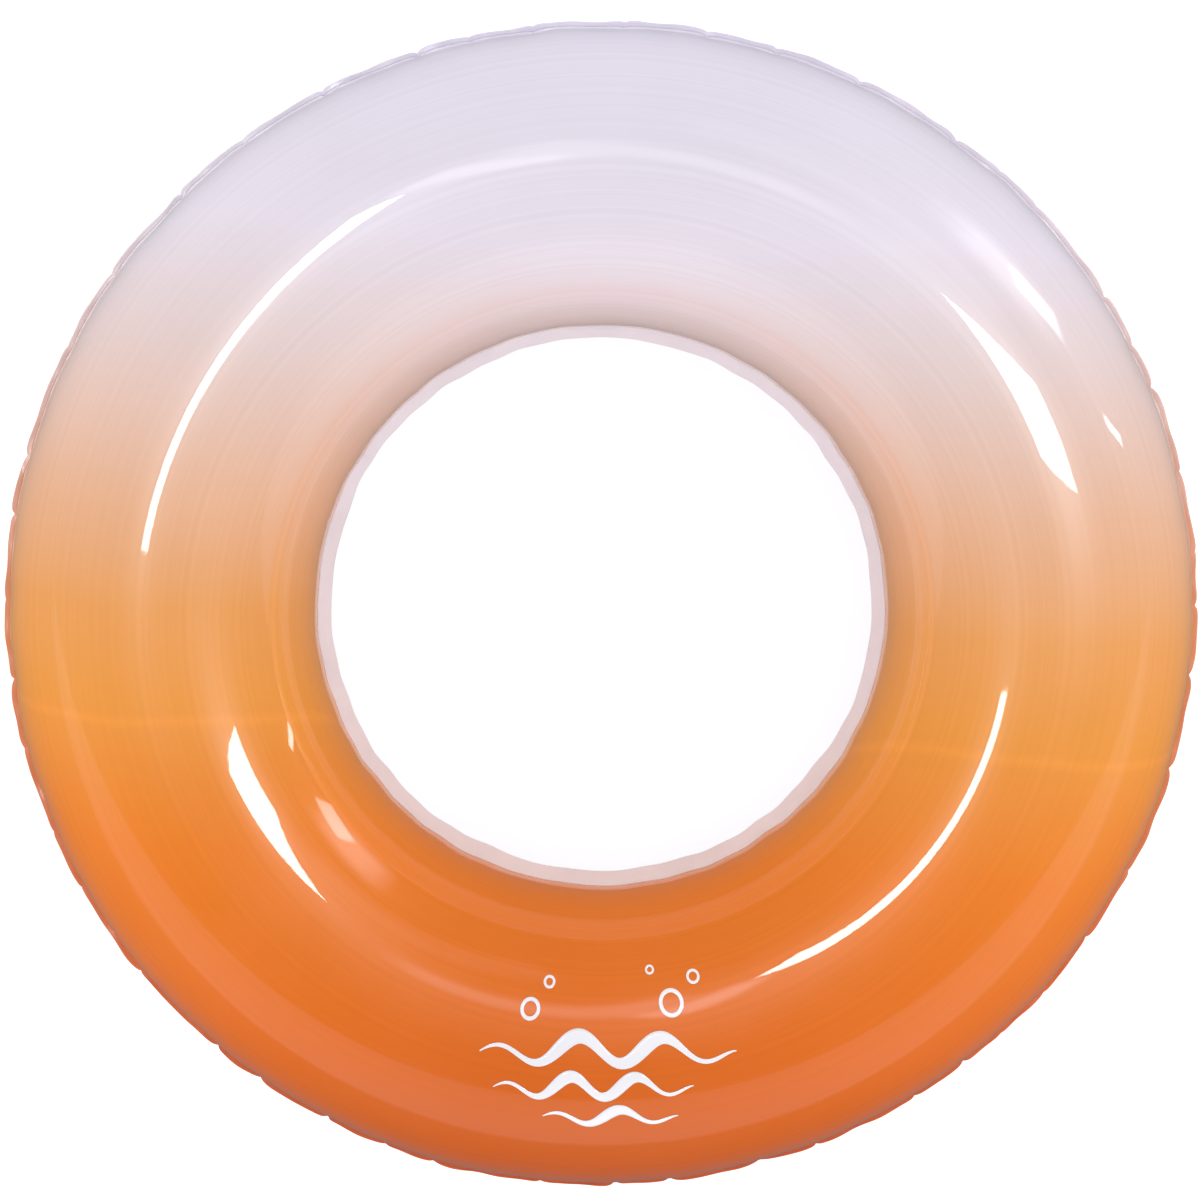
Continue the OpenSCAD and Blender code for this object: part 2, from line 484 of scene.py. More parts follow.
def margin_vinyl(name, stops):
    """A weld margin whose shade follows its place across the ring, from the front to the back."""
    material, tree, shader, shape = vinyl(name, FILM_GLOSS, FILM_BUMP, 3.0, 0.4, 0.15)
    place = node(tree, "ShaderNodeTexCoord").outputs["Object"]
    along = node(tree, "ShaderNodeSeparateXYZ", [place]).outputs[1]
    shade = ramp(tree, remap(tree, along, -MARGIN_SPAN, MARGIN_SPAN, 0.0, 1.0), stops)
    final = scaled(tree, shade, remap(tree, shape.outputs["Cloud"], 0.3, 0.7, 0.96, 1.03))
    tree.links.new(final.outputs[0], shader.inputs["Base Color"])
    return material


# The inner margin is unprinted white film. Its shade carries a painted reflection of the
# printed tube beside it: pinkish at the front and lavender at the back. The outer margin was
# cut from the printed film.
INNER_MARGIN_REFLECTED_TINT = margin_vinyl(
    "inner_margin",
    [
        (0.0, (245, 222, 216)),
        (0.30, (245, 224, 219)),
        (0.62, (246, 238, 244)),
        (1.0, (246, 242, 250)),
    ],
)
OUTER_WELD = margin_vinyl(
    "outer_margin",
    [
        (0.0, (212, 98, 48)),
        (0.15, (226, 116, 58)),
        (0.50, (232, 156, 110)),
        (0.68, (230, 194, 184)),
        (0.85, (230, 221, 229)),
        (1.0, (230, 224, 238)),
    ],
)
print("finishes:", ", ".join(material.name for material in bpy.data.materials))

# %% [markdown]
# ## The two films
#
# Each film is a closed sheet with a real thickness: the outer face has fine rows, the inner face,
# which nobody sees, has few, and the two meet at both welds. The lower film has a round hole for
# the valve. Cells near the valve are left out of both faces, the ragged edge is drawn to a
# circle, and a row of faces joins the two rims, so the sheet stays closed.


# %% Films
UPPER_ROWS, UPPER_BACK_ROWS = 66, 16
LOWER_ROWS = 46


def film_rows(outer_rows, inner_rows):
    """(around, inset) of each row: out along the outer face and back along the inner one."""
    out = crowded(outer_rows, near_welds, ends=True) * math.pi
    back = crowded(inner_rows, near_welds, ends=True)[::-1] * math.pi
    around = np.concatenate([out, back])
    inset = np.concatenate([np.zeros(outer_rows), np.full(inner_rows, FILM_T)])
    return around, inset


def film_sheet(side, outer_rows, inner_rows):
    """The sheet's grid: rows run over the film and back under it, columns run round the ring.

    side is 1 for the upper film and -1 for the lower one.
    """
    around, inset = film_rows(outer_rows, inner_rows)
    around = side * around
    turn = TURNS[None, :]
    points = tube(turn, around[:, None], -inset[:, None])
    flat = flat_place(turn, around[:, None])
    faces = grid_faces(len(around), len(TURNS))
    return points.reshape(-1, 3), faces, flat.reshape(-1, 3)


points, faces, flat = film_sheet(1, UPPER_ROWS, UPPER_BACK_ROWS)
upper_film = make_piece("upper_film", points, faces, PRINTED, flat)
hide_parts("upper_skin")
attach(upper_film, "ring")

# %% [markdown]
# ## The valve's place
#
# The valve stands square on the tube. Its axis is the direction in which the stem slides, and
# its foot lies one tube radius along that axis from the tube's core. Two ways of putting points
# there are needed: rigid parts use the axis, and the flange, which is welded on, follows the
# film.

# %% The valve's own axes
joints = {joint["name"]: joint for joint in frame["joints"]}
valve_out = np.array(joints["valve_pull"]["axis"])
valve_side = -np.array(joints["stopper_hinge"]["axis"])
valve_down = np.cross(valve_side, valve_out)
valve_turn = math.atan2(valve_out[1], valve_out[0])
valve_around = math.asin(valve_out[2])
valve_core = np.array([CORE_R * math.cos(valve_turn), CORE_R * math.sin(valve_turn), SEAM_Z])
valve_foot = valve_core + TUBE_R * valve_out
LIP_TOP = float((np.array(mounts["pump_mouth"]["pos_m"]) - valve_foot) @ valve_out)
print(f"valve at {math.degrees(valve_turn):.0f} degrees, lip {LIP_TOP / MM:.2f} mm above the film")


def valve_point(down, side, out):
    """A point from its three distances along the valve's axes."""
    down, side, out = np.broadcast_arrays(down, side, out)
    return (
        valve_foot
        + down[..., None] * valve_down
        + side[..., None] * valve_side
        + out[..., None] * valve_out
    )


def on_film(down, side, lift):
    """A point of a soft disc on the film: distances become angles round the tube and ring."""
    ring_r = CORE_R + TUBE_R * math.cos(valve_around)
    return tube(valve_turn + side / ring_r, valve_around - down / TUBE_R, lift)


# %% The lower film, with its hole
WELL_R = 12.5 * MM
HOLE_SPARE = 0.5 * MM
VALVE_PATCH = 60 * MM
FAR_AWAY = 1.0


def cut_hole(points, faces, rows, columns, radius):
    """Leaves out cells near the valve's axis, draws the rim to a circle and joins the two rims.

    Half of the rows are the outer face. A point of it and its twin on the inner face, which is
    as many rows from the grid's end, make the wall between the rims.
    """
    arm = points - valve_foot
    near = np.linalg.norm(arm, axis=1) < VALVE_PATCH
    arm = arm - np.outer(arm @ valve_out, valve_out)
    away = np.where(near, np.linalg.norm(arm, axis=1), FAR_AWAY)
    kept = away[faces].max(axis=1) > radius * 1.12
    cut, faces = faces[~kept], faces[kept]
    rim = np.intersect1d(np.unique(cut), np.unique(faces))
    points = points.copy()
    points[rim] += arm[rim] / away[rim, None] * (radius - away[rim])[:, None]
    edges = np.stack([cut, np.roll(cut, -1, axis=1)], axis=-1).reshape(-1, 2)
    whole = {tuple(edge) for edge in edges.tolist()}
    outer_count = rows // 2 * columns
    outer = [edge for edge in whole if edge[::-1] not in whole and max(edge) < outer_count]

    def twin(index):
        return (rows - 1 - index // columns) * columns + index % columns

    walls = [(a, b, twin(b), twin(a)) for a, b in sorted(outer)]
    return points, np.concatenate([faces, np.array(walls)])


points, faces, flat = film_sheet(-1, LOWER_ROWS, LOWER_ROWS)
points, faces = cut_hole(points, faces, 2 * LOWER_ROWS, len(TURNS), WELL_R + HOLE_SPARE)
lower_film = make_piece("lower_film", points, faces, WHITE, flat)
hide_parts("lower_skin")
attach(lower_film, "ring")

# %% [markdown]
# ## The weld margins
#
# Outside each weld a strip of both films is left over, melted into one. The outer strip is only
# a few millimetres wide. It is too long for the edge it sits on, so it flutters. The inner strip
# is wider and hangs down into the hole. It was cut a little too small for the hole, so it is
# pulled taut, and its free edge is a row of nearly straight pieces. The welding bar leaves two
# beads at the weld. Each strip is a closed outline, carried round the ring.


# %% Outer margin
MARGIN_ROOT = 0.25 * MM
FLUTTER = 0.25 * MM
TRIM = 0.10
UP = np.array([0.0, 0.0, 1.0])


def outline(width, thick, across, beads):
    """Closed outline of a strip: its top from the weld to the free edge, then back below.

    A bead is (place, height, spread), and the free edge is rounded.
    """
    w = np.linspace(0, 1, across) * width
    half = thick / 2 * np.clip(np.sqrt(np.clip((width - w) / (0.4 * MM), 0, 1)), 0.05, 1)
    top = half.copy()
    for place, height, spread in beads:
        top = top + height * np.exp(-(((w - place) / spread) ** 2))
    return np.concatenate([w, w[::-1]]), np.concatenate([top, -half[::-1]])


def outer_margin():
    """Strip from the outer weld: it follows the pinches, and flutters towards its free edge."""
    w, h = outline(OUTER_MARGIN, 2 * FILM_T, 9, [(0.9 * MM, 0.12 * MM, 0.25 * MM)])
    w = (w - MARGIN_ROOT)[:, None]
    turn = TURNS[None, :]
    root = tube(turn, np.zeros_like(turn))
    length = np.linalg.norm(root[..., :2], axis=-1, keepdims=True)
    away = np.concatenate([root[..., :2] / length, np.zeros_like(length)], axis=-1)
    share = np.clip(w / OUTER_MARGIN, 0, 1)
    flutter = waves(turn, range(40, 150, 7), 8) * FLUTTER * share
    trim = 1 - TRIM * share * (1 + waves(turn, range(30, 120, 9), 9))
    return root + (w * trim)[..., None] * away + (h[:, None] + flutter)[..., None] * UP


points = outer_margin()
margin_out = make_piece("outer_margin", points, grid_faces(*points.shape[:2]), OUTER_WELD)
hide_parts("outer_weld_band")
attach(margin_out, "ring")

# %% Inner margin
EDGE_PIECES = 23
EDGE_UNEVEN = 0.05
EDGE_LEAN = 0.5 * MM
INNER_OVERLAP = 0.2 * MM


def taut_edge(turn, seed, size):
    """Straight pieces between random knots, with the corners rounded by a short running mean."""
    draw = np.random.default_rng(seed)
    knots = (np.arange(EDGE_PIECES) + draw.uniform(0.1, 0.9, EDGE_PIECES)) / EDGE_PIECES
    knots = np.sort(knots) * TURN
    value = draw.normal(0, size, EDGE_PIECES)
    fine = np.linspace(0, TURN, 4000, endpoint=False)
    line = np.interp(fine, knots, value, period=TURN)
    window = np.hanning(41)
    wrap = len(window) - 1
    line = np.concatenate([line[-wrap:], line, line[:wrap]])
    line = np.convolve(line, window / window.sum(), "same")[wrap:-wrap]
    return np.interp(turn, fine, line, period=TURN)


def inner_margin():
    """Strip from the inner weld, sloping down to its free edge along a straight line."""
    run, drop = HOLE_R - EDGE_R, SEAM_Z - EDGE_Z
    width = math.hypot(run, drop)
    slope = np.array([run, drop]) / width
    beads = [(0.9 * MM, 0.35 * MM, 0.45 * MM), (2.4 * MM, 0.16 * MM, 0.4 * MM)]
    w, h = outline(width, 2 * FILM_T, 21, beads)
    turn = TURNS[None, :]
    root = tube(turn, np.full_like(turn, math.pi))
    root_r = np.linalg.norm(root[..., :2], axis=-1)
    share = (w / width)[:, None]
    wide = w[:, None] * (1 + share * taut_edge(turn, 21, EDGE_UNEVEN))
    lean = waves(turn, range(3, 20), 12) * EDGE_LEAN * share
    r = root_r + INNER_OVERLAP - wide * slope[0] - h[:, None] * slope[1] + lean
    z = root[..., 2] - wide * slope[1] + h[:, None] * slope[0]
    return np.stack([r * np.cos(turn), r * np.sin(turn), z], axis=-1)


points = inner_margin()
margin_in = make_piece("inner_margin", points, grid_faces(*points.shape[:2]), INNER_MARGIN_REFLECTED_TINT)
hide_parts("inner_weld_band")
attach(margin_in, "ring")

# %% [markdown]
# ## The print in white
#
# Below the middle, the ring carries a white decoration. This one is generic: water lines that
# swell and thin like strokes of a brush, with bubbles above them. Each stroke is drawn on the
# flat film and moved onto the tube by the same formula as the film, so it lies on it everywhere.
# Ink is far thinner than these strokes, but a stroke needs a body of its own to be a clean mesh.

# %% Ink strokes
INK_LOW = 0.05 * MM
INK_HIGH = 0.16 * MM


def film_spot(x, y, lift):
    """The tube's point for a place on the flat film."""
    turn = np.arctan2(y, x)
    around = math.pi - (np.hypot(x, y) - HOLE_R) / TUBE_R
    return tube(turn, around, lift)


def stroke(x, y, width, across=5):
    """A band along a line: its sides lie half a width off, and its top is above its bottom."""
    dx, dy = np.gradient(x)[:, None], np.gradient(y)[:, None]
    length = np.hypot(dx, dy)
    side = np.linspace(-0.5, 0.5, across)
    offset = width[:, None] * np.concatenate([side, side[::-1]])
    lift = np.repeat([INK_HIGH, INK_LOW], across)
    across_x = x[:, None] - dy / length * offset
    across_y = y[:, None] + dx / length * offset
    return film_spot(across_x, across_y, np.broadcast_to(lift, across_x.shape))


def end_caps(rows, columns):
    """Squares that close both ends of an open band, between opposite points of its outline."""
    half = columns // 2
    left = np.arange(half - 1)
    cap = np.stack([left, left + 1, columns - 2 - left, columns - 1 - left], axis=-1)
    return np.concatenate([cap[:, ::-1], cap + (rows - 1) * columns])


def ink_piece(name, grids):
    """Joins several closed bands into one piece of ink that rides on the ring."""
    points, faces, start = [], [], 0
    for grid, closed in grids:
        rows, columns = grid.shape[:2]
        made = grid_faces(rows, columns, close_rows=closed)
        if not closed:
            made = np.concatenate([made, end_caps(rows, columns)])
        if signed_volume(grid.reshape(-1, 3), made) < 0:
            made = made[:, ::-1]
        points.append(grid.reshape(-1, 3))
        faces.append(made + start)
        start += rows * columns
    piece = make_piece(name, np.concatenate(points), np.concatenate(faces), INK)
    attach(piece, "ring")
    return piece


def water_line(middle_x, middle_y, length, crests, height, thick):
    """A sine line whose height and thickness both die away towards its two ends."""
    t = np.linspace(0, 1, 26 * crests + 1)
    body = np.sin(math.pi * t) ** 0.6
    x = middle_x + (t - 0.5) * length
    y = middle_y + height * np.sin(TURN * crests * t + 0.6) * (0.35 + 0.65 * body)
    swelling = 1 + 0.28 * np.cos(TURN * crests * t)
    return stroke(x, y, thick * (0.07 + 0.93 * np.sin(math.pi * t)) * swelling)


def bubble(x, y, radius, thick):
    """A ring on the flat film, closed on itself."""
    angle = np.linspace(0, TURN, 41)
    grid = stroke(x + radius * np.cos(angle), y + radius * np.sin(angle), np.full(41, thick))
    return grid[:-1]


# middle x and y, length, crests, height of a crest, thickness
WATER = [
    (4 * MM, -360 * MM, 214 * MM, 3, 10 * MM, 10 * MM),
    (-8 * MM, -387 * MM, 166 * MM, 3, 8 * MM, 8.5 * MM),
    (6 * MM, -411 * MM, 112 * MM, 2, 6 * MM, 7 * MM),
]
# middle x and y, radius, thickness
BUBBLES = [
    (-62 * MM, -330 * MM, 7 * MM, 3.0 * MM),
    (-46 * MM, -311 * MM, 4 * MM, 2.2 * MM),
    (58 * MM, -326 * MM, 9 * MM, 3.2 * MM),
    (77 * MM, -306 * MM, 4.6 * MM, 2.2 * MM),
    (40 * MM, -302 * MM, 3 * MM, 1.8 * MM),
]
ink_piece("print_water", [(water_line(*line), False) for line in WATER])
ink_piece("print_bubbles", [(bubble(*spot), True) for spot in BUBBLES])

# %% [markdown]
# ## The valve
#
# The whole valve is soft moulded vinyl. A flange is welded to the film, a cup called the boot
# hangs from it, and the stem stands in the boot. Pushed in, the stem hides below the film.
# Pulled out, the boot's wall turns inside out and lets it stand. All of these are turned shapes:
# an outline of radius and height, carried round the valve's axis.

# %% Turned shapes
CAP_R = 8.5 * MM
CAP_TOP = 0.63 * MM
CAP_T = 1.6 * MM
STEM_R = 6 * MM
BORE_R = 4 * MM
STEM_LEN = 14 * MM
LIP_R = 7.5 * MM
LIP_T = 1.2 * MM
FLANGE_R = 19 * MM
FLANGE_T = 0.8 * MM
BOOT_WALL = 0.8 * MM
PLUG_LEN = 6 * MM
PLUG_TIP_R = 2.5 * MM
WELD_GAP = 0.03 * MM
ROUND = 96


def rounded(corners, radius, steps=5):
    """Outline through corners, each replaced by a curve that starts up to radius away."""
    corners = np.asarray(corners, float)
    before = np.roll(corners, 1, axis=0) - corners
    after = np.roll(corners, -1, axis=0) - corners
    reach = np.minimum(np.linalg.norm(before, axis=1), np.linalg.norm(after, axis=1)) * 0.45
    reach = np.minimum(reach, radius)[:, None]
    start = corners + before / np.linalg.norm(before, axis=1, keepdims=True) * reach
    end = corners + after / np.linalg.norm(after, axis=1, keepdims=True) * reach
    t = np.linspace(0, 1, steps)[None, :, None]
    start, middle, end = start[:, None], corners[:, None], end[:, None]
    curve = (1 - t) ** 2 * start + 2 * t * (1 - t) * middle + t ** 2 * end
    return curve.reshape(-1, 2)


def turned(profile, reach=None):
    """Outline of (radius, height) carried round the axis; reach adds to the radius by place."""
    angle = np.linspace(0, TURN, ROUND, endpoint=False)[None, :]
    r = profile[:, :1]
    if reach is not None:
        r = r + reach(angle, profile[:, :1], profile[:, 1:])
    return valve_point(r * np.cos(angle), r * np.sin(angle), profile[:, 1:])


def valve_piece(name, points, material, slot, body, *nodes):
    """Makes a valve piece that hides its engineering nodes and rides on body, if one is given."""
    piece = make_piece(name, points, grid_faces(*points.shape[:2]), material)
    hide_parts(*nodes)
    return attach(piece, body) if body else piece


# %% Flange, which follows the film
FLANGE_TOP = WELD_GAP + FLANGE_T
RIDGE_RISE = 0.28 * MM
RIDGES = [(0.30, 0), (0.36, 1), (0.42, 0), (0.62, 0), (0.68, 1), (0.74, 0)]


def flange():
    """A soft disc on the film with a rounded rim and two raised weld rings.

    A ridge's corner has its share of the way out over the disc and its share of the rise.
    """
    width = FLANGE_R - WELL_R
    corners = [(WELL_R, WELD_GAP), (WELL_R, FLANGE_TOP)]
    corners += [(WELL_R + width * out, FLANGE_TOP + RIDGE_RISE * up) for out, up in RIDGES]
    corners += [(FLANGE_R - 0.6 * MM, FLANGE_TOP), (FLANGE_R, WELD_GAP)]
    profile = rounded(corners, 0.5 * MM)
    angle = np.linspace(0, TURN, 2 * ROUND, endpoint=False)[None, :]
    down, side = profile[:, :1] * np.cos(angle), profile[:, :1] * np.sin(angle)
    return on_film(down, side, np.broadcast_to(profile[:, 1:], down.shape))


valve_piece("valve_flange_disc", flange(), VALVE, "valve_vinyl", "ring", "valve_flange")

# %% Boot, the cup between the ring and the stem
BOOT_FLOOR = LIP_TOP - STEM_LEN - WELD_GAP
BOOT_RISE = 0.75 * MM
BOOT_BELLY = 0.35 * MM
BOOT_STEPS = 6


def boot_side(wall, low):
    """One side of the boot's wall, from the top down: straight, with one half wave inwards."""
    steps = range(1, BOOT_STEPS + 1)
    belly = [wall - BOOT_BELLY * math.sin(k * math.pi / BOOT_STEPS) for k in steps]
    depth = [low * k / (BOOT_STEPS + 1) for k in steps]
    return [(wall - 0.05 * MM, FLANGE_TOP - BOOT_RISE), *zip(belly, depth)]


def boot():
    """A cup: its wall starts at the flange, bellies once, and turns in to a floor at the bore.

    The top of the wall follows the film's curve, and a few millimetres down it is level.
    """
    outer = WELL_R - WELD_GAP
    inner = outer - BOOT_WALL
    low = BOOT_FLOOR - BOOT_WALL
    bore = BORE_R + 0.02 * MM
    corners = boot_side(outer, low)
    corners += [(outer, low), (bore, low), (bore, BOOT_FLOOR), (inner, BOOT_FLOOR)]
    corners += boot_side(inner, low)[::-1]
    profile = rounded(corners, 1.0 * MM)
    angle = np.linspace(0, TURN, ROUND, endpoint=False)[None, :]
    down, side = profile[:, :1] * np.cos(angle), profile[:, :1] * np.sin(angle)
    top_share = np.clip(1 + profile[:, 1:] / (4 * MM), 0, 1)
    bowed = (on_film(down, side, 0.0) - valve_foot) @ valve_out * top_share
    return valve_point(down, side, profile[:, 1:] + bowed + BOOT_RISE * top_share)


boot_piece = valve_piece("valve_boot_cup", boot(), VALVE, "valve_vinyl", None, "valve_boot")
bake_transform(boot_piece)

# %% Stem, with a shallow waist round its middle
WAIST_R = STEM_R - 0.35 * MM
stem_corners = [
    (BORE_R, -STEM_LEN),
    (STEM_R, -STEM_LEN),
    (STEM_R, -9.2 * MM),
    (WAIST_R, -8.6 * MM),
    (WAIST_R, -4.4 * MM),
    (STEM_R, -3.8 * MM),
    (STEM_R, -LIP_T),
    (LIP_R, -LIP_T),
    (LIP_R, 0.0),
    (BORE_R, 0.0),
]
stem_points = turned(rounded(stem_corners, 0.4 * MM) + (0.0, LIP_TOP))
valve_piece("valve_stem_tube", stem_points, VALVE, "valve_vinyl", "valve_stem", "valve_stem")

# %% [markdown]
# ## The stopper
#
# The stopper is a cap with a tapered plug below it and a tab for a fingernail. A short strap ties
# it to the stem. The strap is a loop: one leg grows from the stem's lip, the other from the cap.
# When the stopper swings open, the loop bends; this piece rides on neither body.

# %% Stopper
TAB_REACH = 2 * MM
CAP_LOW = CAP_TOP - CAP_T
CAP_DISH = 0.35 * MM
PLUG_R = BORE_R - 0.05 * MM
POLE_R = 0.05 * MM


def tab(angle, r, out):
    """Stretches the cap's rim towards the tab's side, only in the cap's upper half."""
    side = np.exp(-((((angle + math.pi) % TURN - math.pi) / 0.30) ** 4))
    rim = np.clip((r - 0.72 * CAP_R) / (0.28 * CAP_R), 0, 1)
    high = np.clip((out - (CAP_TOP - 0.9 * MM)) / (0.15 * MM), 0, 1)
    return TAB_REACH * side * rim * high


stopper_corners = [
    (POLE_R, CAP_TOP - CAP_DISH),
    (3.4 * MM, CAP_TOP - CAP_DISH),
    (4.2 * MM, CAP_TOP),
    (CAP_R, CAP_TOP),
    (CAP_R, CAP_TOP - 0.78 * MM),
    (CAP_R, CAP_TOP - 0.95 * MM),
    (CAP_R, CAP_LOW),
    (PLUG_R, CAP_LOW),
    (PLUG_R, CAP_LOW - 1.0 * MM),
    (PLUG_TIP_R, CAP_LOW - PLUG_LEN),
    (POLE_R, CAP_LOW - PLUG_LEN),
]
stopper_points = turned(rounded(stopper_corners, 0.3 * MM), tab)
valve_piece("stopper_cap", stopper_points, STOPPER, "stopper_vinyl", "stopper", "stopper")

# %% Strap
STRAP_W = 4 * MM
STRAP_T = 0.8 * MM
STRAP_BEND = CAP_R + 1.8 * MM
STRAP_ROOT = LIP_R - 0.9 * MM
STRAP_TIP = CAP_R - 0.7 * MM


def strap():
    """A rounded band whose middle line is two level legs joined by half a circle."""
    low_leg = LIP_TOP - LIP_T / 2
    high_leg = CAP_LOW + STRAP_T / 2
    bend = (high_leg - low_leg) / 2
    half_turn = np.linspace(-math.pi / 2, math.pi / 2, 13)
    leg = np.linspace(0, 1, 9)[:-1]
    down = np.concatenate([
        -STRAP_ROOT + (STRAP_ROOT - STRAP_BEND) * leg,
        -STRAP_BEND - bend * np.cos(half_turn),
        -STRAP_BEND + (STRAP_BEND - STRAP_TIP) * leg[1:],
    ])
    out = np.concatenate([
        np.full(len(leg), low_leg),
        (low_leg + high_leg) / 2 + bend * np.sin(half_turn),
        np.full(len(leg) - 1, high_leg),
    ])
    along = np.stack([np.gradient(down), np.gradient(out)], axis=-1)
    along = along / np.linalg.norm(along, axis=1, keepdims=True)
    corners = np.array([(-1, -1), (1, -1), (1, 1), (-1, 1)]) * (STRAP_W / 2, STRAP_T / 2)
    side, thick = rounded(corners, 0.3 * MM, 4).T
    down = down[:, None] - along[:, 1:] * thick
    out = out[:, None] + along[:, :1] * thick
    return valve_point(down, side, out)


points = strap()
size = points.shape[:2]
faces = np.concatenate([grid_faces(*size, close_rows=False), end_caps(*size)])
strap_piece = make_piece("stopper_strap_loop", points, faces, STOPPER)
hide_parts("stopper_strap")
bend_start = valve_point(-STRAP_BEND, 0.0, LIP_TOP - 0.35 * MM)
bend_end = valve_point(-STRAP_BEND, 0.0, CAP_LOW + 0.35 * MM)
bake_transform(strap_piece)

# %% [markdown]
# ## Seat and flap
#
# Deep in the stem sits the check valve: a ring that is the seat, and a disc of film that air
# pushes shut. Their engineering shapes are already right, so they only get materials.

# %% Seat and flap
for name, material in (("flap_seat", SEAT), ("check_flap", FLAP)):
    carried = frame["nodes"][name]
    carried.data.materials.clear()
    carried.data.materials.append(material)
    print(f"{name} keeps its shape and takes {material.name}")

# %% [markdown]
# ## Floor, light and camera
#
# Product light for a glossy ring is mostly a bright, even room, and a few lamps that draw sharp
# shapes on the tube. A lamp shows where the surface leans half as far as the lamp does. A narrow
# lamp close to the line of sight makes long crescents near the tube's top, and a lamp further out
# makes short wedges on its flanks.

# %% Floor
FLOOR_HALF = 6.0
FLOOR_Z = -0.4 * MM


def pale_floor():
    """A wide pale sheet just under the ring, with a faint glow of its own, like a light table."""
    corners = [
        (x * FLOOR_HALF, y * FLOOR_HALF, FLOOR_Z) for x, y in ((-1, -1), (1, -1), (1, 1), (-1, 1))
    ]
    mesh = bpy.data.meshes.new("floor")
    mesh.from_pydata(corners, [], [(0, 1, 2, 3)])
    material = bpy.data.materials.new("floor")
    material.use_nodes = True
    shader = material.node_tree.nodes["Principled BSDF"]
    shader.inputs["Base Color"].default_value = rgb((228, 228, 228))
    shader.inputs["Roughness"].default_value = 0.9
    shader.inputs["Specular IOR Level"].default_value = 0.1
    shader.inputs["Emission Color"].default_value = (1, 1, 1, 1)
    shader.inputs["Emission Strength"].default_value = 0.48
    mesh.materials.append(material)
    floor = bpy.data.objects.new("floor", mesh)
    floor.visible_glossy = False
    bpy.context.scene.collection.objects.link(floor)
    print(f"floor: {2 * FLOOR_HALF:.0f} m wide, {-FLOOR_Z / MM:.1f} mm below the ring")


pale_floor()


# %% Lamps
LAMP_HEIGHT = 5.0


def softbox(name, x, y, width, length, spin, power):
    """A level rectangular lamp that shines down; its place and size are shares of its height."""
    data = bpy.data.lights.new(name, "AREA")
    data.shape = "RECTANGLE"
    data.size, data.size_y = width * LAMP_HEIGHT, length * LAMP_HEIGHT
    data.energy = power
    made = bpy.data.objects.new(name, data)
    made.location = (x * LAMP_HEIGHT, y * LAMP_HEIGHT, SEAM_Z + LAMP_HEIGHT)
    made.rotation_euler = (0, 0, math.radians(spin))
    made.visible_camera = False
    bpy.context.scene.collection.objects.link(made)
    return made


# x, y, width and length as shares of the height, spin in degrees, power in watts
LAMPS = {
    "long_softbox": (-0.315, 0.19, 0.095, 0.50, -10, 112),
    "wide_softbox": (0.614, 0.175, 0.41, 0.225, 6, 210),
    "fill_lamp": (0.1, 0.2, 0.7, 0.7, 0, 35),
}
lamps = {name: softbox(name, *values) for name, values in LAMPS.items()}

# The softboxes only show in the mirror, and the fill lamp only lights the matt part.
lamps["long_softbox"].visible_diffuse = False
lamps["wide_softbox"].visible_diffuse = False
lamps["fill_lamp"].visible_glossy = False
print(f"{len(lamps)} lamps, {LAMP_HEIGHT:.0f} m above the welds")

# %% [markdown]
# ### What the ring mirrors besides the lamps
#
# The rest of the mirrored studio is dark, apart from a pale wall in front, whose top edge draws a
# line in the mirror, a faint glow from the floor, and soft lamps behind cloth at the back. They
# are painted on the sky, and only mirror rays see them. Light for the matt part comes from a sky
# that is brighter towards the horizon and towards the front. The soft lamps are placed on a sky
# map: the distance from its middle is the angle from straight up, in degrees.


# %% Sky
SMOOTH = {"interpolation_type": "SMOOTHSTEP"}


def soft_panel_group():
    """A mask: one inside a turned rectangle on the sky map, fading to nought over its edge."""
    tree = bpy.data.node_groups.new("soft_panel", "ShaderNodeTree")
    for name in ("Place", "Middle", "Spin", "Half Width", "Half Height", "Soft"):
        kind = "NodeSocketVector" if name in ("Place", "Middle") else "NodeSocketFloat"
        tree.interface.new_socket(name, in_out="INPUT", socket_type=kind)
    tree.interface.new_socket("Mask", in_out="OUTPUT", socket_type="NodeSocketFloat")
    entry = tree.nodes.new("NodeGroupInput")
    turned_place = node(tree, "ShaderNodeVectorRotate", rotation_type="Z_AXIS")
    for name, socket in (("Place", "Vector"), ("Middle", "Center"), ("Spin", "Angle")):
        tree.links.new(entry.outputs[name], turned_place.inputs[socket])
    away = vector_calc(tree, "SUBTRACT", turned_place, entry.outputs["Middle"])
    away = vector_calc(tree, "ABSOLUTE", away)
    split = node(tree, "ShaderNodeSeparateXYZ", [away])
    masks = []
    for axis, name in enumerate(("Half Width", "Half Height")):
        start = entry.outputs[name]
        end = calc(tree, "ADD", start, entry.outputs["Soft"])
        masks.append(remap(tree, split.outputs[axis], start, end, 1.0, 0.0, **SMOOTH))
    node(tree, "NodeGroupOutput", [calc(tree, "MULTIPLY", *masks)])
    return tree


# middle (x, y), spin, half width, half height and softness in degrees, strength
SKY_PANELS = [
    ((-7.0, 22.0), -60, 0.8, 4.0, 4.0, 4.0),
    ((4.0, 24.0), -60, 1.0, 9.0, 6.0, 2.0),
    ((25.0, 39.0), -45, 2.0, 16.0, 8.0, 0.7),
    ((58.0, 45.0), -50, 4.0, 3.0, 12.0, 4.0),
    ((67.0, 41.0), -60, 4.0, 5.0, 2.0, 9.0),
    ((81.0, 21.0), -75, 0.9, 4.5, 0.8, 18.0),
]
MATT_TOP = 0.65
MATT_HORIZON = 1.62
MATT_LEAN = -0.14
MIRROR_DARK = 0.04
MIRROR_WALL = 0.75
MIRROR_FLOOR = 0.2


